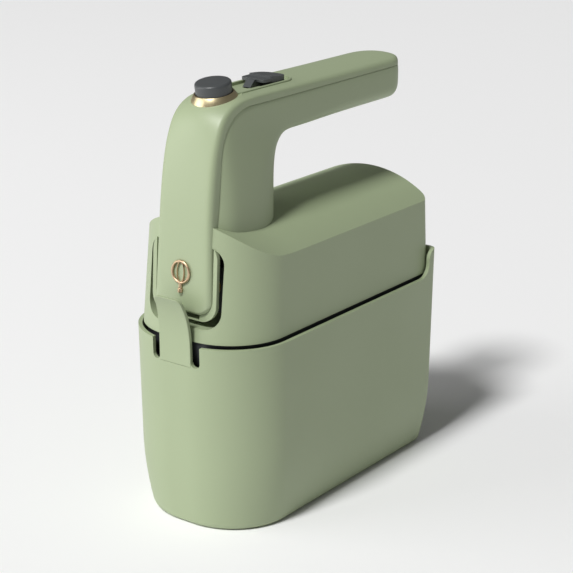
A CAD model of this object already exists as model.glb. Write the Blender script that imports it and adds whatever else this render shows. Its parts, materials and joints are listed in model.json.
"""A hand mixer standing in its storage case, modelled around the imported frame.

Lengths in this script are millimetres from the datum, the middle of the case on the surface it stands on;
at() turns them into the frame's metres. The latch is at the -Y end and the grip points to +Y.
"""

import json
import math
from collections import namedtuple

import bmesh
import bpy
from mathutils import Matrix, Vector
from mathutils.geometry import intersect_line_line_2d


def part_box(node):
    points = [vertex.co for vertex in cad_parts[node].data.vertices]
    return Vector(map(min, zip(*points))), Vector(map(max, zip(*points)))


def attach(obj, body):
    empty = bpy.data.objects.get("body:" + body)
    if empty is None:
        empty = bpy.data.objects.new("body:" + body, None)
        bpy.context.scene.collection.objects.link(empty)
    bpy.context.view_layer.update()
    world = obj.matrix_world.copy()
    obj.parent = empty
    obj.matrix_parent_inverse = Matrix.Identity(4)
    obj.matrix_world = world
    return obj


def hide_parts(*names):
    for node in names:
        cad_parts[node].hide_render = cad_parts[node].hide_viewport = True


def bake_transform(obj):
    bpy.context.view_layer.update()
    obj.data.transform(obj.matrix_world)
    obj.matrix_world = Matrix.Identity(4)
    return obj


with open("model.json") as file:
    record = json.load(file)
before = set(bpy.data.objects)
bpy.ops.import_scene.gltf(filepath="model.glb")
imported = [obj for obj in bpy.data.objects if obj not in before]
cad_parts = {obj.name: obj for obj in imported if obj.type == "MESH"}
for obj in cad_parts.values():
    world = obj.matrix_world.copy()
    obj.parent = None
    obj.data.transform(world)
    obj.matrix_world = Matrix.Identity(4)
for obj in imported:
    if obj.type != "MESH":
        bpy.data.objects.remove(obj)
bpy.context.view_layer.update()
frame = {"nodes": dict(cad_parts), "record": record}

# ---------------------------------------------------------------- driving dimensions

MM = 0.001
CASE_LENGTH = 199.4
CASE_WIDTH = 100.0
CASE_WALL = 2.4
FOOT_RADIUS = 3.0
KNEE_Z = 47.6
RIM_Z = 114.4
REAR_RIM_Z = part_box("case_shell")[1].z / MM
DATUM_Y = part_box("case_shell")[1].y - CASE_LENGTH / 2 * MM

# Length and width of the case at its foot, its knee and its rim.
CASE_FOOT = (186.5, 89.4)
CASE_KNEE = (196.5, 99.2)
CASE_RIM = (CASE_LENGTH, CASE_WIDTH)

# Radii of the front and the rear corners, seen from above.
CASE_CORNERS = (36.4, 5)
SHELL_CORNERS = (36.1, 5.7)
BASE_CORNERS = (34.8, 4.4)

SLOT_Z = 102.0
TONGUE_HALF = 11.4
SLOT_HALF = 17.2
TIP_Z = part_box("latch_tongue")[1].z / MM - 0.6
TIP_LEAN = 6.9
TIP_NARROWING = 0.19
LEDGE_TOP = 99.6

# Stations of the body: height, half width, front and rear.
SHELL_Z = 116.3
SHELL_FOOT = (SHELL_Z, 46.45, -95.3, 96.55)
CREASE = (163.4, 44.9, -90.4, 95.6)
SHELL_TOP = (205.0, 43.55, -86.05, 94.75)
BODY_WALL = 2.4
ROOF_Z = 179.1
ROOF_RADIUS = 72.05
RAMP_Y = -44
RAMP_RISE = 5.44

# Half width, lower and upper edge and corner radius of the pocket round the column's foot, and of the lip
# inside it.
POCKET = (26.4, 124.2, 171.5, 10.0)
LIP = (23.4, 127.6, 175.0, 11.0)
POCKET_BACK = -64.0
LIP_THICKNESS = 2.4
COVER_HALF = 20.6
COVER_FOOT_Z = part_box("front_cover")[0].z / MM
COVER_FRONT = -94.0
FRONT_LEAN = math.atan(0.06)
GRIP_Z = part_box("front_cover")[1].z / MM
GRIP_UNDER = 224.0
GRIP_HALF = 18.2
GRIP_END = 110.2
END_RADIUS = 16.5
END_UNDER_RADIUS = 14.5
END_TOP_RADIUS = 5.0
GRIP_CORNER = 7.5
PARTING = 0.15

BUTTON = (0.0, -60.7, 249.4)
BUTTON_TILT = math.radians(9)
COLLAR_TILT = math.radians(15)
CAP_RADIUS = 10.5
CAP_TOP = 9.3
RING_RADIUS = 14.0
TRACK_HALF = 9.3
TRACK_END_Y = -6.5
SLIDER_REAR = -3.4
SLIDER_STEP = -19.0
SLIDER_FRONT = -26.0

BASE_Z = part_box("bottom_cover")[0].z / MM
BASE_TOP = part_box("bottom_cover")[1].z / MM

# Sections of the handle, from the foot of the column to where the end of the grip starts to round: the
# outer and inner points as (Y, Z), the half width of the front strip and of the belly behind it, the width
# and depth of the inner corners, and the crown of the strip.
Section = namedtuple("Section", "outer inner strip belly corner_x corner_d crown")
SECTIONS = [
    Section((-94.2, 120), (-20, 120), 20.6, 25, 24.5, 30, 0.3),
    Section((-93.6, 131.5), (-20, 131.5), 20.6, 25, 24.5, 30, 0.3),
    Section((-92.4, 150), (-20, 150), 20.4, 25.2, 25, 30, 0.3),
    Section((-91.3, 166), (-20, 165), 19.9, 25.2, 25, 30, 0.3),
    Section((-90.4, 180), (-20, 178), 19.5, 25.2, 25, 30, 0.3),
    Section((-89.4, 192), (-20, 188.5), 19.4, 24.6, 24, 29, 0.3),
    Section((-87.4, 209), (-20, 201.5), 19.2, 23, 22.5, 25, 0.5),
    Section((-85.1, 223), (-20, 210.5), 19, 21.2, 19, 19, 0.9),
    Section((-83.1, 231), (-19.7, 216), 18.8, 20, 15.5, 14.5, 1.5),
    Section((-80.8, 238.3), (-18, 220.3), 18.6, 19.2, 12.5, 11, 2.2),
    Section((-77.4, 243.7), (-14.8, 223.2), 18.4, 18.7, 10, 9, 2.8),
    Section((-72.4, 247.7), (-10, 224), 18.3, 18.4, 8.5, 8, 3),
    Section((-65, 250.2), (-3.5, 224), 18.2, 18.2, 7.5, 7.5, 2.7),
    Section((-55, 251.2), (3, 224), 18.2, 18.2, 7.5, 7.5, 2),
    Section((-42, 251.1), (11, 224), 18.2, 18.2, 7.5, 7.5, 1.4),
    Section((-10, 251), (22, 224), 18.2, 18.2, 7.5, 7.5, 1),
    Section((30, 251), (41, 224), 18.2, 18.2, 7.5, 7.5, 1),
    Section((66, 251), (66, 224), 18.2, 18.2, 7.5, 7.5, 1),
]
FLANK_RADIUS = 17.0

# The parting line between the front cover and the housing, as (Y, Z).
SEAM = [
    (-89.3, 110),
    (-86.9, 150),
    (-84.9, 170),
    (-83.7, 180),
    (-81.7, 192),
    (-79.6, 209),
    (-78.4, 220),
    (-76.4, 228),
    (-72.8, 234.5),
    (-68.3, 239.2),
    (-61.6, 243),
    (-54, 244.8),
    (-42, 244.8),
    (-22, 244.8),
    (20, 244.8),
    (125, 244.8),
]


def at(x, y, z):
    return Vector((x, y, z)) * MM + Vector((0, DATUM_Y, 0))


# ---------------------------------------------------------------- modelling steps


def settle(name):
    """Names the active object and moves its place and turn into its mesh."""
    piece = bpy.context.active_object
    piece.name = name
    piece.data.name = name
    bpy.ops.object.transform_apply(location=True, rotation=True, scale=True)
    return piece


def only(*pieces):
    bpy.ops.object.select_all(action="DESELECT")
    for piece in pieces:
        piece.select_set(True)
    bpy.context.view_layer.objects.active = pieces[0]


def begin(piece):
    only(piece)
    bpy.ops.object.mode_set(mode="EDIT")
    bpy.ops.mesh.select_all(action="DESELECT")


def finish_edit(recalculate=True):
    if recalculate:
        bpy.ops.mesh.select_all(action="SELECT")
        bpy.ops.mesh.normals_make_consistent(inside=False)
    bpy.ops.object.mode_set(mode="OBJECT")


def middle(part):
    """The middle of a vertex, edge or face of the open mesh, in millimetres from the datum."""
    corners = [part] if isinstance(part, bmesh.types.BMVert) else part.verts
    total = sum((corner.co for corner in corners), Vector())
    return (total / len(corners) - Vector((0, DATUM_Y, 0))) / MM


def pick(kind, test):
    """Selects the vertices, edges or faces of the open mesh whose middle passes the test."""
    bpy.ops.mesh.select_mode(type=kind)
    bpy.ops.mesh.select_all(action="DESELECT")
    mesh = bpy.context.edit_object.data
    net = bmesh.from_edit_mesh(mesh)
    for part in {"VERT": net.verts, "EDGE": net.edges, "FACE": net.faces}[kind]:
        if test(middle(part)):
            part.select_set(True)
    bmesh.update_edit_mesh(mesh)


def pick_all():
    """Selects the whole of the open mesh."""
    bpy.ops.mesh.select_mode(type="FACE")
    bpy.ops.mesh.select_all(action="SELECT")


def near(value, *targets):
    return any(abs(value - target) < 0.01 for target in targets)


def round_picked(radius, segments, test):
    """Rounds the edges of the open mesh whose middle passes the test."""
    pick("EDGE", test)
    bpy.ops.mesh.bevel(offset=radius * MM, segments=segments, profile=0.5, affect="EDGES")


def extrude(x, y, z):
    bpy.ops.mesh.extrude_region_move(TRANSFORM_OT_translate={"value": (x * MM, y * MM, z * MM)})


def lean_with_front(y):
    """Leans the whole open mesh back with the front of the column, about a line low on it."""
    pick_all()
    bpy.ops.transform.rotate(value=FRONT_LEAN, orient_axis="X", center_override=at(0, y, 128))


def block(name, x, y, z):
    bpy.ops.object.select_all(action="DESELECT")
    low = at(x[0], y[0], z[0])
    high = at(x[1], y[1], z[1])
    bpy.ops.mesh.primitive_cube_add(size=1, location=(low + high) / 2, scale=high - low)
    return settle(name)


def rounded_block(name, x, y, z, radius, segments=10):
    """A block whose four long edges, along Y, are rounded."""
    piece = block(name, x, y, z)
    begin(piece)
    round_picked(radius, segments, lambda p: near(p.x, *x) and near(p.z, *z))
    finish_edit()
    return piece


def drum(name, radius, start, end, sides=64):
    bpy.ops.object.select_all(action="DESELECT")
    low = at(*start)
    high = at(*end)
    turn = (high - low).to_track_quat("Z", "Y").to_euler()
    bpy.ops.mesh.primitive_cylinder_add(
        vertices=sides,
        radius=radius * MM,
        depth=(high - low).length,
        location=(low + high) / 2,
        rotation=turn,
    )
    return settle(name)


def plan_block(name, stations, front_radius, rear_radius):
    """A block with two large front corners and two small rear ones, extruded through stations, each with
    its height, half width, front Y and rear Y."""
    z, half, front, rear = stations[0]
    bpy.ops.object.select_all(action="DESELECT")
    bpy.ops.mesh.primitive_plane_add(size=1, location=at(0, (front + rear) / 2, z))
    bpy.context.active_object.scale = (2 * half * MM, (rear - front) * MM, 1)
    piece = settle(name)
    begin(piece)
    for is_corner, radius, segments in (
        (lambda p: near(p.y, front), front_radius, 24),
        (lambda p: near(p.y, rear), rear_radius, 6),
    ):
        pick("VERT", is_corner)
        bpy.ops.mesh.bevel(offset=radius * MM, segments=segments, profile=0.5, affect="VERTICES")
    pick_all()
    for (z0, half0, front0, rear0), (z1, half1, front1, rear1) in zip(stations, stations[1:]):
        extrude(0, 0, z1 - z0)
        grow = (half1 / half0, (rear1 - front1) / (rear0 - front0), 1)
        bpy.ops.transform.resize(value=grow, center_override=at(0, (front0 + rear0) / 2, z1))
        shift = (front1 + rear1 - front0 - rear0) / 2
        bpy.ops.transform.translate(value=(0, shift * MM, 0))
    finish_edit()
    return piece


def loft(name, rings):
    """A closed skin through rings of points, each ring extruded from the one before it."""
    count = len(rings[0])
    bpy.ops.object.select_all(action="DESELECT")
    bpy.ops.mesh.primitive_circle_add(vertices=count, fill_type="NGON")
    piece = settle(name)
    previous = [vertex.co.copy() for vertex in piece.data.vertices]
    begin(piece)
    pick_all()
    for number, ring in enumerate(rings):
        if number:
            bpy.ops.mesh.extrude_region_move()
        net = bmesh.from_edit_mesh(piece.data)
        for vertex in net.verts:
            if vertex.select:
                place = vertex.co.copy()
                nearest = min(range(count), key=lambda k: (previous[k] - place).length_squared)
                vertex.co = ring[nearest]
        bmesh.update_edit_mesh(piece.data)
        previous = ring
    finish_edit()
    return piece


def apply_modifier(piece, kind, **settings):
    only(piece)
    modifier = piece.modifiers.new(kind.title(), kind)
    for name, value in settings.items():
        setattr(modifier, name, value)
    bpy.ops.object.modifier_apply(modifier=modifier.name)


def carve(piece, *tools, operation="DIFFERENCE"):
    """Cuts, joins or crosses the piece with each tool, and throws the tools away."""
    for tool in tools:
        apply_modifier(piece, "BOOLEAN", object=tool, operation=operation, solver="EXACT")
        bpy.data.objects.remove(tool)
    return piece


def smoothed(piece, levels):
    apply_modifier(piece, "SUBSURF", levels=levels, render_levels=levels)
    return piece


def round_edges(piece, width, segments=3, angle=36):
    apply_modifier(
        piece,
        "BEVEL",
        width=width * MM,
        segments=segments,
        limit_method="ANGLE",
        angle_limit=math.radians(angle),
        use_clamp_overlap=True,
    )
    return piece


def shade(piece, angle=34):
    """Smooth shading that keeps flat faces flat beside their rounded edges."""
    only(piece)
    bpy.ops.object.shade_smooth_by_angle(angle=math.radians(angle))
    apply_modifier(piece, "WEIGHTED_NORMAL", keep_sharp=True, weight=90)
    return piece


def between(p, q, r, s, t):
    """A value at the share t of the way from q to r, on the smooth curve that passes p, q, r and s."""
    slope = (r - p) / 2
    square = p - 2.5 * q + 2 * r - s / 2
    cube = 1.5 * (q - r) + (s - p) / 2
    return q + t * slope + t * t * square + t**3 * cube


def smooth_line(points, steps):
    """Points on a smooth line through the given ones."""
    ends = [points[0], *points, points[-1]]
    line = []
    for stretch in zip(ends, ends[1:], ends[2:], ends[3:]):
        for step in range(steps):
            line.append(tuple(between(*values, step / steps) for values in zip(*stretch)))
    return [*line, points[-1]]


# ---------------------------------------------------------------- storage case


def case_station(z, inset=0.0):
    """Height, half width, front and rear of the case: the walls curve in below the knee."""
    if z < KNEE_Z:
        share = z / KNEE_Z
        share *= 2 - share
        sizes = zip(CASE_FOOT, CASE_KNEE)
    else:
        share = (z - KNEE_Z) / (RIM_Z - KNEE_Z)
        sizes = zip(CASE_KNEE, CASE_RIM)
    length, width = (low + (high - low) * share for low, high in sizes)
    return z, width / 2 - inset, inset - length / 2, length / 2 - inset


def make_case():
    """One tub, thickened inwards, with a rim that rises at the rear and two slots beside the latch."""
    stations = []
    for turn in (0, 22.5, 45, 67.5, 90):
        t = math.radians(turn)
        stations.append(case_station(FOOT_RADIUS * (1 - math.cos(t)), FOOT_RADIUS * (1 - math.sin(t))))
    stations += [case_station(z) for z in (9, 16, 24, 32, 40, KNEE_Z, 80, RIM_Z, REAR_RIM_Z)]
    case = plan_block("moulded_case", stations, *CASE_CORNERS)
    begin(case)
    pick("FACE", lambda p: p.z > REAR_RIM_Z - 0.01)
    bpy.ops.mesh.delete(type="FACE")
    finish_edit(recalculate=False)
    apply_modifier(case, "SOLIDIFY", thickness=CASE_WALL * MM, offset=-1, use_even_offset=True)
    carve(case, rim_cutter())
    through_wall = (-112, -88)
    upwards = (SLOT_Z, 150)
    slot_half = (SLOT_HALF - TONGUE_HALF) / 2
    for side in (-1, 1):
        slot = rounded_block("slot", (-slot_half, slot_half), through_wall, upwards, 2.7, segments=6)
        slot.data.transform(Matrix.Translation((side * (TONGUE_HALF + slot_half) * MM, 0, 0)))
        carve(case, slot)
    carve(case, block("tongue_gap", (-TONGUE_HALF, TONGUE_HALF), through_wall, upwards))
    ledge_z = (52, LEDGE_TOP)
    ledges = [block("ledge", (-12, 12), (94.5, 97), ledge_z)]
    for x in (-46.2, 46.2):
        for y in (-40, 30):
            ledges.append(block("ledge", (x - 1.5, x + 1.5), (y - 1.5, y + 1.5), ledge_z))
    carve(case, *ledges, operation="UNION")
    round_edges(case, 0.7)
    return shade(case)


def rim_cutter():
    """What is above the rim: a slab, low at the front and stepped up over the rear corner."""
    step_y = 90.6
    step_z = REAR_RIM_Z - 0.02
    cutter = block("rim_cutter", (-70, 70), (-130, step_y), (RIM_Z, 150))
    begin(cutter)
    pick_all()
    bpy.ops.mesh.bisect(plane_co=at(0, 0, step_z), plane_no=(0, 0, 1))
    pick("FACE", lambda p: near(p.y, step_y) and p.z > REAR_RIM_Z)
    extrude(0, 40, 0)
    round_picked(8.5, 12, lambda p: near(p.y, step_y) and near(p.z, RIM_Z))
    round_picked(6.5, 12, lambda p: near(p.y, step_y) and near(p.z, step_z))
    finish_edit()
    return cutter


def make_latch():
    """The springy tongue: a strip extruded up from the case wall, leaning out to its pull tab."""
    root_y = case_station(SLOT_Z)[2]
    root_z = SLOT_Z + 1
    wall_y = (root_y, root_y + CASE_WALL)
    tongue = block("moulded_latch", (-TONGUE_HALF, TONGUE_HALF), wall_y, (SLOT_Z, root_z))
    begin(tongue)
    pick("FACE", lambda p: near(p.z, root_z))
    steps = 16
    curve = 3.4
    for step in range(steps):
        before = step / steps
        after = (step + 1) / steps
        extrude(0, -TIP_LEAN * (after**curve - before**curve), (TIP_Z - root_z) / steps)
        narrow = 1 - 3 * TIP_NARROWING / steps * after**2
        bpy.ops.transform.resize(value=(narrow, 1, 1))
    round_picked(3.2, 6, lambda p: p.z > TIP_Z - 0.05 and abs(p.x) > 5)
    finish_edit()
    return shade(round_edges(tongue, 0.6))


# ---------------------------------------------------------------- handle


def place_ring(half, outer, inner):
    """A section as a closed ring: its half, as (X, depth), is mirrored and laid from the outer point in."""
    start = Vector((0, *outer))
    along = (Vector((0, *inner)) - start).normalized()
    ring = half + [(-x, d) for x, d in reversed(half[1:-1])]
    return [at(x, *(start + along * d).yz) for x, d in ring]


def depth_to_seam(section):
    """How far the parting line lies behind the outer point of a section."""
    stretches = zip(SEAM, SEAM[1:])
    hits = (intersect_line_line_2d(section.outer, section.inner, low, high) for low, high in stretches)
    return next((hit - Vector(section.outer)).length for hit in hits if hit)


def arc(centre_x, centre_d, radius_x, radius_d, turns):
    """Points on a quarter ellipse that starts facing the outer line and ends facing sideways."""
    angles = [math.radians(turn) for turn in turns]
    return [(centre_x + radius_x * math.sin(t), centre_d - radius_d * math.cos(t)) for t in angles]


def strip_ring(section):
    """The outer strip of one section: crowned, with rounded edges and straight sides."""
    side = section.strip
    depth = 24
    rounding = min(3.6, side * 0.6)
    flat = side - rounding
    half = [(flat * share, section.crown * share**2) for share in (0, 0.4, 0.75)]
    half += arc(flat, section.crown + rounding, rounding, rounding, (0, 30, 60, 90))
    half += [(side, depth / 2), (side, depth), (side / 2, depth), (0, depth)]
    return place_ring(half, section.outer, section.inner)


def flank_ring(section, inset=0.0):
    """The rest of one section: flanks that swell behind the strip to the belly, and round inner corners."""
    depth = (Vector(section.inner) - Vector(section.outer)).length
    seam_d = depth_to_seam(section) - 0.3
    belly = max(section.belly, section.strip + 0.25)
    radius = min(FLANK_RADIUS, belly * 0.8, (depth - seam_d) * 0.5)
    share = 1 - (belly - section.strip) / radius
    middle_d = seam_d + radius * math.sqrt(1 - share**2)
    radius -= inset
    belly -= inset
    depth -= inset
    corner_x = min(max(section.corner_x - inset, 1), belly * 0.999)
    corner_d = min(max(section.corner_d - inset, 1), (depth - middle_d) * 0.9)
    half = [(0, middle_d - radius), ((belly - radius) * 0.6, middle_d - radius)]
    half += arc(belly - radius, middle_d, radius, radius, (0, 22.5, 45, 67.5, 90))
    inner_d = depth - corner_d
    half.append((belly, (middle_d + inner_d) / 2))
    corner = arc(belly - corner_x, inner_d, corner_x, corner_d, (90, 67.5, 45, 22.5))
    half += [(x, 2 * inner_d - d) for x, d in corner]
    half += [((belly - corner_x) * 0.6 + corner_x * 0.12, depth), (0, depth)]
    return place_ring(half, section.outer, section.inner)


def end_section(reach):
    """A section of the end of the grip, which is round in plan and below."""
    y = GRIP_END - END_RADIUS + reach
    half = GRIP_HALF - END_RADIUS + math.sqrt(END_RADIUS**2 - reach**2)
    under = max(y - (GRIP_END - END_UNDER_RADIUS), 0)
    over = max(y - (GRIP_END - END_TOP_RADIUS), 0)
    low = GRIP_UNDER + END_UNDER_RADIUS - math.sqrt(END_UNDER_RADIUS**2 - under**2)
    high = GRIP_Z - END_TOP_RADIUS + math.sqrt(END_TOP_RADIUS**2 - over**2)
    corner_x = min(GRIP_CORNER, half * 0.5)
    corner_d = min(GRIP_CORNER, (high - low) * 0.4)
    return Section((y, high), (y, low), half, half, corner_x, corner_d, half / GRIP_HALF)


def handle_loft(name, ring_of, left_out=0, **settings):
    """The column, the bend, the grip and its end, with as many of the last sections left out as asked."""
    sections = SECTIONS + [end_section(reach) for reach in (0, 4, 7.5, 10.5, 13, 14.8, 15.9, 16.4)]
    sections = sections[: len(sections) - left_out]
    return loft(name, [ring_of(section, **settings) for section in sections])


def front_region(name, clearance):
    """Everything in front of and above the parting line, moved out by a clearance."""
    line = smooth_line(SEAM, 5)
    rings = []
    for number, (y, z) in enumerate(line):
        y0, z0 = line[max(number - 1, 0)]
        y1, z1 = line[min(number + 1, len(line) - 1)]
        along = Vector((y1 - y0, z1 - z0)).normalized()
        out = Vector((-along.y, along.x))
        low = Vector((y, z)) + out * clearance
        high = low + out * 45
        corners = ((-40, low), (40, low), (40, high), (-40, high))
        rings.append([at(x, *point) for x, point in corners])
    return loft(name, rings)


def recess_outline(grow, z):
    """Plan of the sunk track of the slider: it opens towards the button and ends in a half round."""
    half = TRACK_HALF + grow
    turns = [math.radians(turn) for turn in range(0, 181, 12)]
    end = [(half * math.cos(t), TRACK_END_Y + half * math.sin(t)) for t in turns]
    flare = [(-half, -36), (-half - 0.2, -43), (-half - 0.1, -49), (-half + 0.8, -54), (-half + 2, -59)]
    mirrored = [(-x, y) for x, y in reversed(flare)]
    return [at(x, y, z) for x, y in [*end, *flare, *mirrored]]


def tilted(piece, turn=BUTTON_TILT):
    """Leans a piece that was made upright at the origin back and sets it where the button is."""
    piece.rotation_euler = (turn, 0, 0)
    piece.location = at(*BUTTON)
    only(piece)
    bpy.ops.object.transform_apply(location=True, rotation=True, scale=True)
    return piece


def button_drum(name, radius, low, high, sides=96, turn=BUTTON_TILT):
    bpy.ops.object.select_all(action="DESELECT")
    height = (high - low) * MM
    bpy.ops.mesh.primitive_cylinder_add(vertices=sides, radius=radius * MM, depth=height)
    bpy.context.active_object.location.z = (high + low) / 2 * MM
    return tilted(settle(name), turn)


def front_foot(name, grow):
    """The lower end of the strip and all above it: round corners and soft front edges, leaning back."""
    half = COVER_HALF + grow
    low = COVER_FOOT_Z - grow
    front = COVER_FRONT - grow
    piece = block(name, (-half, half), (front, 140), (low, 320))
    begin(piece)
    round_picked(10 + grow, 12, lambda p: near(p.x, half, -half) and near(p.z, low))
    round_picked(3.4, 6, lambda p: near(p.y, front))
    lean_with_front(COVER_FRONT)
    finish_edit()
    return piece


def ring_profile(name, grow):
    """The flared skirt round the button, from inside the cover up to the button."""
    stations = ((-9, 14.3), (-4, 14.2), (-1.6, 13.8), (0.4, 13.0), (1.9, 12.1), (3.0, 11.3))
    bpy.ops.object.select_all(action="DESELECT")
    bpy.ops.mesh.primitive_circle_add(vertices=128, radius=(stations[0][1] + grow) * MM, fill_type="NGON")
    piece = settle(name)
    begin(piece)
    pick_all()
    bpy.ops.transform.translate(value=(0, 0, (stations[0][0] - grow) * MM))
    for (z0, r0), (z1, r1) in zip(stations, stations[1:]):
        extrude(0, 0, z1 - z0)
        share = (r1 + grow) / (r0 + grow)
        bpy.ops.transform.resize(value=(share, share, 1))
    finish_edit()
    return tilted(piece)


def make_cover():
    """The strip that runs up the column and over the grip."""
    cover = smoothed(handle_loft("cover_strip", strip_ring), 2)
    carve(cover, front_region("front_region", PARTING), front_foot("foot", 0), operation="INTERSECT")
    collar = button_drum("collar", RING_RADIUS + 1.5, -9, -1.2, 96, COLLAR_TILT)
    levels = ((1.6, -3), (1.35, 0.3), (1.0, 0.65))
    welt = loft("welt", [recess_outline(grow, GRIP_Z + rise) for grow, rise in levels])
    carve(cover, collar, welt, operation="UNION")
    recess = loft("recess", [recess_outline(0, GRIP_Z - 1.1), recess_outline(0.4, GRIP_Z + 6)])
    cap_bore = button_drum("cap_bore", CAP_RADIUS + 0.5, -16, 5)
    foot_slot = block("foot_slot", (-2, 2), (-33, -13), (GRIP_Z - 9, GRIP_Z + 2))
    carve(cover, recess, ring_profile("ring_seat", 0.12), cap_bore, foot_slot)
    round_edges(cover, 0.45, segments=2)
    return shade(cover)


# ---------------------------------------------------------------- housing


def ramp(y):
    """Rise of the roof towards the column."""
    return RAMP_RISE * (max(RAMP_Y - y, 0) / 40) ** 1.8


def roof_block(name, drop):
    """Everything under the arched roof: a disc extruded forwards, lifted where the roof rises."""
    bpy.ops.object.select_all(action="DESELECT")
    bpy.ops.mesh.primitive_circle_add(
        vertices=320,
        radius=ROOF_RADIUS * MM,
        fill_type="NGON",
        location=at(0, 130, ROOF_Z - ROOF_RADIUS - drop),
        rotation=(math.pi / 2, 0, 0),
    )
    piece = settle(name)
    begin(piece)
    pick_all()
    stations = [130, *range(RAMP_Y, -100, -4), -115]
    for y0, y1 in zip(stations, stations[1:]):
        extrude(0, y1 - y0, ramp(y1) - ramp(y0))
    finish_edit()
    return piece


def body_block(name, inset, drop, floor):
    """The body from a floor up to its roof; an inset makes the space inside it."""
    stations = []
    for z, half, front, rear in (SHELL_FOOT, CREASE, SHELL_TOP):
        stations.append((z, half - inset, front + inset, rear - inset))
    stations[0] = (floor, *stations[0][1:])
    piece = plan_block(name, stations, *(radius - inset for radius in SHELL_CORNERS))
    return carve(piece, roof_block("roof", drop), operation="INTERSECT")


def pocket_block(name, grow):
    """The pocket in the front of the body, or with its walls when it is grown."""
    half, low, high, radius = POCKET
    x = (-half - grow, half + grow)
    return rounded_block(name, x, (-120, POCKET_BACK + grow), (low - grow, high + grow), radius + grow)


def make_lip():
    """The thin leaning plate in the pocket that frames the foot of the strip."""
    half, low, high, radius = LIP
    front = -91.0
    lip = rounded_block("lip", (-half, half), (front, front + LIP_THICKNESS), (low, high), radius)
    begin(lip)
    lean_with_front(front)
    finish_edit()
    covered = front_foot("covered", 0.12)
    carve(covered, front_region("front_region", -PARTING), operation="INTERSECT")
    return carve(lip, covered)


def make_housing():
    """The body with its arched roof, the pocket round the column's foot, the back of the column and the
    underside of the grip, all one shell."""
    housing = body_block("moulded_housing", 0, 0, SHELL_Z)
    round_edges(housing, 1.3, segments=4, angle=34)
    carve(housing, pocket_block("pocket", 0))
    pocket_low, pocket_high = POCKET[1:3]
    back = smoothed(handle_loft("back", flank_ring), 2)
    trim = block("trim", (-30, 30), (-100, POCKET_BACK), (90, pocket_high))
    carve(back, front_region("front_region", -PARTING), trim)
    carve(housing, back, make_lip(), operation="UNION")
    hollow = body_block("hollow", BODY_WALL, BODY_WALL, SHELL_Z - 4)
    carve(housing, carve(hollow, pocket_block("pocket_wall", BODY_WALL)))
    cavity = handle_loft("cavity", flank_ring, left_out=3, inset=BODY_WALL)
    carve(cavity, block("trim", (-40, 40), (-100, 0), (90, pocket_low + 4)))
    carve(housing, cavity)
    carve(housing, drum("gland_bore", 6.6, (0, 80, 150), (0, 110, 150), 48))
    round_edges(housing, 0.45, segments=2, angle=38)
    return shade(housing)


def centre_of(node):
    """X and Y of the middle of a frame node's box."""
    low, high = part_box(node)
    return (low.x + high.x) / 2 / MM, ((low.y + high.y) / 2 - DATUM_Y) / MM


def make_base():
    """The dark base under the shell: a shallow tray with beater sockets, screw recesses and motor vents."""
    half, front, rear = SHELL_FOOT[1:]
    stations = []
    for z, inset in ((BASE_Z, 3.9), (BASE_Z + 0.8, 2.9), (BASE_Z + 3, 2.4), (BASE_TOP, 1.3)):
        stations.append((z, half - inset, front + inset, rear - inset))
    base = plan_block("base_tray", stations, *BASE_CORNERS)
    begin(base)
    pick("FACE", lambda p: p.z > BASE_TOP - 0.01)
    bpy.ops.mesh.delete(type="FACE")
    finish_edit(recalculate=False)
    apply_modifier(base, "SOLIDIFY", thickness=2.4 * MM, offset=-1, use_even_offset=True)
    for number in range(1, 5):
        x, y = centre_of(f"base_screw_{number}")
        carve(base, drum("head", 3.6, (x, y, 90), (x, y, BASE_Z + 1.8), 32))
    for side in ("left", "right"):
        x, y = centre_of(f"spindle_{side}")
        carve(base, drum("collar", 10.2, (x, y, BASE_Z), (x, y, BASE_Z + 4)), operation="UNION")
        carve(base, drum("socket", 7.7, (x, y, 90), (x, y, 130)))
    vent_half = 18
    for y in range(10, 50, 8):
        vent_y = (y - 1.5, y + 1.5)
        vent = block("vent", (-vent_half, vent_half), vent_y, (90, 110))
        begin(vent)
        round_picked(1.4, 5, lambda p: near(p.x, vent_half, -vent_half) and near(p.y, *vent_y))
        finish_edit()
        carve(base, vent)
    round_edges(base, 0.35, segments=2)
    return shade(base)


# ---------------------------------------------------------------- controls and emblem


def make_ring():
    """The plated ring round the button."""
    ring = ring_profile("plated_ring", 0)
    carve(ring, button_drum("bore", CAP_RADIUS + 0.45, -12, 10, 128))
    round_edges(ring, 0.5, segments=3, angle=30)
    return shade(ring)


def make_cap():
    """The push button: a drum with a softened rim and a slightly domed top."""
    cap = button_drum("eject_cap", CAP_RADIUS, -3, CAP_TOP, 128)
    axis = Vector((0, -math.sin(BUTTON_TILT), math.cos(BUTTON_TILT)))
    top = Vector(BUTTON) + axis * CAP_TOP
    begin(cap)
    pick("FACE", lambda p: (p - top).length < 0.01)
    bpy.ops.mesh.bevel(offset=1.5 * MM, segments=6, profile=0.5, affect="EDGES")
    pick("FACE", lambda p: (p - top).length < 0.01)
    for thickness, rise in ((3, 0.25), (3, 0.18), (2.5, 0.08)):
        bpy.ops.mesh.inset(thickness=thickness * MM, depth=0)
        bpy.ops.transform.translate(value=axis * rise * MM)
    finish_edit()
    carve(cap, button_drum("stem", 4, -12, -1, 48), operation="UNION")
    return shade(cap)


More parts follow.
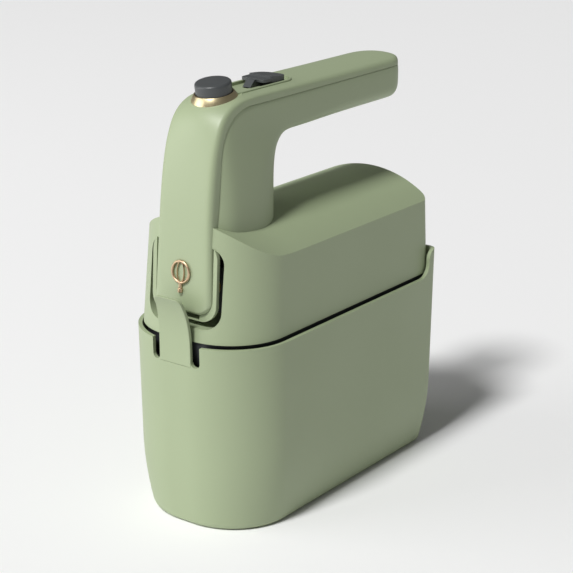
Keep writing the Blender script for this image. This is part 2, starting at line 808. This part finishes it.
def make_slider():
    """The speed slider: a sloping thumb pad with a lower flange towards the button, on a leaning stem."""
    half = TRACK_HALF - 0.4
    x = (-half, half)
    pad_top = GRIP_Z + 4.6
    pad = block("speed_thumb_slide", x, (SLIDER_STEP, SLIDER_REAR), (GRIP_Z - 0.8, pad_top))
    begin(pad)
    round_picked(6.5, 10, lambda p: near(p.x, *x) and near(p.y, SLIDER_REAR))
    round_picked(2, 5, lambda p: near(p.x, *x) and near(p.y, SLIDER_STEP))
    pick_all()
    slope_start = at(0, SLIDER_STEP, pad_top - 0.2)
    bpy.ops.mesh.bisect(plane_co=slope_start, plane_no=(0, 0.09, 1), clear_outer=True, use_fill=True)
    finish_edit()
    flange = block("flange", x, (SLIDER_FRONT, -15), (GRIP_Z + 1.6, GRIP_Z + 3.4))
    begin(flange)
    round_picked(2, 5, lambda p: near(p.x, *x) and near(p.y, SLIDER_FRONT))
    finish_edit()
    stem = block("stem", (-2.8, 2.8), (-32, -17), (GRIP_Z - 0.8, GRIP_Z + 3))
    begin(stem)
    pick("VERT", lambda p: p.z > GRIP_Z and p.y < -30)
    bpy.ops.transform.translate(value=(0, 4 * MM, 0))
    finish_edit()
    foot = block("foot", (-1.6, 1.6), (-24, -14), (GRIP_Z - 9, GRIP_Z))
    carve(pad, flange, stem, foot, operation="UNION")
    round_edges(pad, 0.9, segments=3)
    return shade(pad)


def make_emblem():
    """A generic whisk: a balloon of two wire loops on a short handle, raised from the cover."""
    low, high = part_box("front_emblem")
    loop_radius = 6.2
    parts = []
    for half, thick in ((6.1, 0.75), (2.5, 0.62)):
        bpy.ops.object.select_all(action="DESELECT")
        bpy.ops.mesh.primitive_torus_add(
            major_radius=loop_radius * MM,
            minor_radius=thick * MM,
            major_segments=72,
            minor_segments=16,
            location=(0, 0, 3.0 * MM),
            rotation=(math.pi / 2, 0, 0),
        )
        bpy.context.active_object.scale.x = half / loop_radius
        parts.append(settle("loop"))
    for radius, bottom, top in ((1.0, -8.6, -2.6), (1.45, -8.9, -6.2)):
        bpy.ops.object.select_all(action="DESELECT")
        bpy.ops.mesh.primitive_cylinder_add(
            vertices=32,
            radius=radius * MM,
            depth=(top - bottom) * MM,
            location=(0, 0, (top + bottom) / 2 * MM),
        )
        stalk = settle("stalk")
        round_edges(stalk, 0.4)
        parts.append(stalk)
    emblem = parts[0]
    carve(emblem, *parts[1:], operation="UNION")
    emblem.name = "whisk_emblem"
    behind_front = 1.15 * MM
    below_middle = 0.15 * MM
    emblem.location = ((low.x + high.x) / 2, low.y + behind_front, (low.z + high.z) / 2 - below_middle)
    emblem.rotation_euler = (math.radians(-3.8), 0, 0)
    only(emblem)
    bpy.ops.object.transform_apply(location=True, rotation=True, scale=True)
    return shade(emblem)


# ---------------------------------------------------------------- finishes


def new_group(name, inputs, outputs):
    group = bpy.data.node_groups.new(name, "ShaderNodeTree")
    for title, kind, value in inputs:
        socket = group.interface.new_socket(name=title, in_out="INPUT", socket_type=kind)
        socket.default_value = value
    for title, kind in outputs:
        group.interface.new_socket(name=title, in_out="OUTPUT", socket_type=kind)
    return group


def noise(group, coordinates, scale, detail=2.0):
    node = group.nodes.new("ShaderNodeTexNoise")
    node.inputs["Detail"].default_value = detail
    group.links.new(coordinates, node.inputs["Vector"])
    group.links.new(scale, node.inputs["Scale"])
    return node.outputs["Fac"]


def blend_values(group, share, low, high):
    """A value that runs from low to high with the share."""
    node = group.nodes.new("ShaderNodeMapRange")
    group.links.new(share, node.inputs["Value"])
    for title, source in (("To Min", low), ("To Max", high)):
        group.links.new(source, node.inputs[title])
    node.inputs["From Min"].default_value = 0.3
    node.inputs["From Max"].default_value = 0.7
    return node.outputs["Result"]


def moulded_surface_group():
    """Plastic as it leaves a mould: slow drift of colour and gloss, and a fine eroded grain."""
    group = new_group(
        "moulded_surface",
        [
            ("Colour", "NodeSocketColor", (0.5, 0.5, 0.5, 1)),
            ("Shade Colour", "NodeSocketColor", (0.4, 0.4, 0.4, 1)),
            ("Drift Scale", "NodeSocketFloat", 14.0),
            ("Grain Scale", "NodeSocketFloat", 1800.0),
            ("Smooth", "NodeSocketFloat", 0.4),
            ("Rough", "NodeSocketFloat", 0.5),
        ],
        [("Colour", "NodeSocketColor"), ("Roughness", "NodeSocketFloat"), ("Grain", "NodeSocketFloat")],
    )
    source = group.nodes.new("NodeGroupInput")
    result = group.nodes.new("NodeGroupOutput")
    coordinates = group.nodes.new("ShaderNodeTexCoord").outputs["Object"]
    drift = noise(group, coordinates, source.outputs["Drift Scale"], 3.0)
    grain = noise(group, coordinates, source.outputs["Grain Scale"], 2.0)
    mixer = group.nodes.new("ShaderNodeMix")
    mixer.data_type = "RGBA"
    group.links.new(drift, mixer.inputs["Factor"])
    group.links.new(source.outputs["Shade Colour"], mixer.inputs["A"])
    group.links.new(source.outputs["Colour"], mixer.inputs["B"])
    group.links.new(mixer.outputs["Result"], result.inputs["Colour"])
    roughness = blend_values(group, drift, source.outputs["Rough"], source.outputs["Smooth"])
    group.links.new(roughness, result.inputs["Roughness"])
    group.links.new(grain, result.inputs["Grain"])
    return group


def drawn_metal_group():
    """Metal with fine lines along one direction, set by how far each axis is stretched."""
    group = new_group(
        "drawn_metal",
        [
            ("Colour", "NodeSocketColor", (0.6, 0.6, 0.6, 1)),
            ("Shade Colour", "NodeSocketColor", (0.5, 0.5, 0.5, 1)),
            ("Stretch", "NodeSocketVector", (1.0, 1.0, 1.0)),
            ("Line Scale", "NodeSocketFloat", 900.0),
            ("Smooth", "NodeSocketFloat", 0.2),
            ("Rough", "NodeSocketFloat", 0.35),
        ],
        [("Colour", "NodeSocketColor"), ("Roughness", "NodeSocketFloat"), ("Lines", "NodeSocketFloat")],
    )
    source = group.nodes.new("NodeGroupInput")
    result = group.nodes.new("NodeGroupOutput")
    stretch = group.nodes.new("ShaderNodeVectorMath")
    stretch.operation = "MULTIPLY"
    coordinates = group.nodes.new("ShaderNodeTexCoord").outputs["Object"]
    group.links.new(coordinates, stretch.inputs[0])
    group.links.new(source.outputs["Stretch"], stretch.inputs[1])
    lines = noise(group, stretch.outputs["Vector"], source.outputs["Line Scale"], 3.0)
    mixer = group.nodes.new("ShaderNodeMix")
    mixer.data_type = "RGBA"
    group.links.new(lines, mixer.inputs["Factor"])
    group.links.new(source.outputs["Shade Colour"], mixer.inputs["A"])
    group.links.new(source.outputs["Colour"], mixer.inputs["B"])
    group.links.new(mixer.outputs["Result"], result.inputs["Colour"])
    roughness = blend_values(group, lines, source.outputs["Smooth"], source.outputs["Rough"])
    group.links.new(roughness, result.inputs["Roughness"])
    group.links.new(lines, result.inputs["Lines"])
    return group


def material_with(name, group, values, height, bump_strength, bump_mm, metallic):
    """A material that takes its colour, roughness and bump from a group placed with its own values."""
    material = bpy.data.materials.new(name)
    material.use_nodes = True
    nodes = material.node_tree.nodes
    links = material.node_tree.links
    shader = nodes["Principled BSDF"]
    surface = nodes.new("ShaderNodeGroup")
    surface.node_tree = group
    for title, value in values.items():
        surface.inputs[title].default_value = value
    links.new(surface.outputs["Colour"], shader.inputs["Base Color"])
    links.new(surface.outputs["Roughness"], shader.inputs["Roughness"])
    bump = nodes.new("ShaderNodeBump")
    bump.inputs["Strength"].default_value = bump_strength
    bump.inputs["Distance"].default_value = bump_mm * MM
    links.new(surface.outputs[height], bump.inputs["Height"])
    links.new(bump.outputs["Normal"], shader.inputs["Normal"])
    shader.inputs["Metallic"].default_value = metallic
    return material


def plastic(name, colour, shade_colour, smooth, rough, grain=1800.0, bump=0.25):
    values = {
        "Colour": (*colour, 1),
        "Shade Colour": (*shade_colour, 1),
        "Grain Scale": grain,
        "Smooth": smooth,
        "Rough": rough,
    }
    return material_with(name, MOULDED, values, "Grain", bump, 0.05, 0.0)


def metal(name, colour, shade_colour, smooth, rough, stretch=(1, 1, 1), lines=900.0, bump=0.2):
    values = {
        "Colour": (*colour, 1),
        "Shade Colour": (*shade_colour, 1),
        "Stretch": stretch,
        "Line Scale": lines,
        "Smooth": smooth,
        "Rough": rough,
    }
    return material_with(name, DRAWN, values, "Lines", bump, 0.04, 1.0)


MOULDED = moulded_surface_group()
DRAWN = drawn_metal_group()

# Name, colour, shade colour, smoothest and roughest gloss, and the scale of the grain.
PLASTICS = [
    ("sage_plastic", (0.365, 0.432, 0.268), (0.347, 0.411, 0.253), 0.42, 0.50),
    ("charcoal_plastic", (0.042, 0.046, 0.050), (0.036, 0.039, 0.043), 0.42, 0.52),
    ("charcoal_cap", (0.072, 0.078, 0.080), (0.062, 0.068, 0.070), 0.34, 0.44),
    ("switch_plastic", (0.02, 0.02, 0.02), (0.015, 0.015, 0.015), 0.4, 0.5),
    ("nylon", (0.72, 0.69, 0.6), (0.66, 0.62, 0.53), 0.45, 0.6, 700.0),
    ("carbon", (0.02, 0.02, 0.022), (0.012, 0.012, 0.014), 0.6, 0.85, 1200.0),
    ("gland_rubber", (0.022, 0.023, 0.025), (0.017, 0.018, 0.02), 0.6, 0.78, 900.0),
]

# Name, colour, shade colour, smoothest and roughest gloss, stretch, scale of the lines, and bump.
METALS = [
    ("gold_ring", (0.80, 0.69, 0.43), (0.74, 0.62, 0.37), 0.30, 0.42, (1, 1, 5)),
    ("rose_gold", (0.66, 0.49, 0.33), (0.58, 0.42, 0.27), 0.34, 0.46, (1, 1, 4)),
    ("polished_steel", (0.62, 0.63, 0.65), (0.56, 0.57, 0.59), 0.12, 0.24, (1, 0.1, 1)),
    ("screw_steel", (0.5, 0.5, 0.5), (0.4, 0.4, 0.41), 0.3, 0.45, (1, 1, 1), 1600.0),
    ("spring_steel", (0.5, 0.51, 0.53), (0.42, 0.43, 0.45), 0.25, 0.4, (1, 1, 0.2), 1400.0),
    ("lamination_steel", (0.3, 0.31, 0.33), (0.16, 0.165, 0.18), 0.4, 0.62, (0.02, 1, 0.02), 2200.0, 0.6),
    ("copper_wire", (0.55, 0.22, 0.09), (0.34, 0.12, 0.045), 0.25, 0.42, (1, 0.04, 0.04), 2600.0, 0.7),
    ("commutator_copper", (0.62, 0.3, 0.15), (0.45, 0.2, 0.09), 0.3, 0.45, (1, 4, 1), 700.0),
    ("bronze", (0.44, 0.29, 0.12), (0.36, 0.23, 0.09), 0.35, 0.55, (1, 1, 1), 1500.0, 0.4),
]

FINISHES = {row[0]: plastic(*row) for row in PLASTICS}
FINISHES.update({row[0]: metal(*row) for row in METALS})


def dress(piece, body, slot, *nodes):
    """Gives a finished piece its finish, its body, if it has just one, and the nodes it replaces."""
    piece.data.materials.clear()
    piece.data.materials.append(FINISHES[slot])
    if body:
        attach(piece, body)
    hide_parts(*nodes)


for entry in frame["record"]["subparts"]:
    node = frame["nodes"][entry["node"]]
    for place in node.material_slots:
        place.material = FINISHES[entry["material_slot"]]

# ---------------------------------------------------------------- the object

dress(make_case(), "storage_case", "sage_plastic", "case_shell")

latch = make_latch()
dress(latch, None, "sage_plastic", "latch_tongue")
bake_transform(latch)

dress(make_cover(), "mixer", "sage_plastic", "front_cover")
dress(make_housing(), "mixer", "sage_plastic", "main_housing")
dress(make_base(), "mixer", "charcoal_plastic", "bottom_cover")
dress(make_emblem(), "mixer", "rose_gold", "front_emblem")
dress(make_ring(), "mixer", "gold_ring", "button_bezel")
dress(make_cap(), "eject_button", "charcoal_cap", "eject_button")
dress(make_slider(), "speed_slider", "charcoal_cap", "speed_slider")

# ---------------------------------------------------------------- studio

FLOOR_TONE = 0.92
WORLD_STRENGTH = 0.13
LIGHT_AIM = Vector((0, 0, 0.12))
VIEW_LENS = 105.97
VIEW_PLACE = (0.58776, -0.78062, 0.44529)
VIEW_TILT = math.radians(71.6577)
VIEW_TURN = math.radians(36.8155)


def make_studio():
    bpy.ops.object.select_all(action="DESELECT")
    bpy.ops.mesh.primitive_plane_add(size=8)
    floor = settle("studio_floor")
    paper = bpy.data.materials.new("studio_paper")
    paper.use_nodes = True
    shader = paper.node_tree.nodes["Principled BSDF"]
    shader.inputs["Base Color"].default_value = (FLOOR_TONE, FLOOR_TONE, FLOOR_TONE, 1)
    shader.inputs["Roughness"].default_value = 0.9
    floor.data.materials.append(paper)

    world = bpy.data.worlds.new("studio_world")
    world.use_nodes = True
    background = world.node_tree.nodes["Background"]
    background.inputs["Color"].default_value = (1, 1, 1, 1)
    background.inputs["Strength"].default_value = WORLD_STRENGTH
    bpy.context.scene.world = world

    for name, kind, place, power, spread in (
        ("key_light", "SUN", (-0.05, -1.26, 1.92), 2.75, math.radians(12)),
        ("fill_light", "AREA", (-1.52, -1.52, 0.60), 22, 1.6),
    ):
        light = bpy.data.lights.new(name, kind)
        light.energy = power
        if kind == "SUN":
            light.angle = spread
        else:
            light.size = spread
        lamp = bpy.data.objects.new(name, light)
        bpy.context.scene.collection.objects.link(lamp)
        lamp.location = place
        lamp.rotation_euler = (LIGHT_AIM - Vector(place)).to_track_quat("-Z", "Y").to_euler()

    lens = bpy.data.cameras.new("view")
    lens.lens = VIEW_LENS
    lens.sensor_width = 36
    camera = bpy.data.objects.new("view", lens)
    bpy.context.scene.collection.objects.link(camera)
    camera.location = VIEW_PLACE
    camera.rotation_euler = (VIEW_TILT, 0, VIEW_TURN)
    bpy.context.scene.camera = camera
    bpy.context.scene.view_settings.view_transform = "Standard"


make_studio()
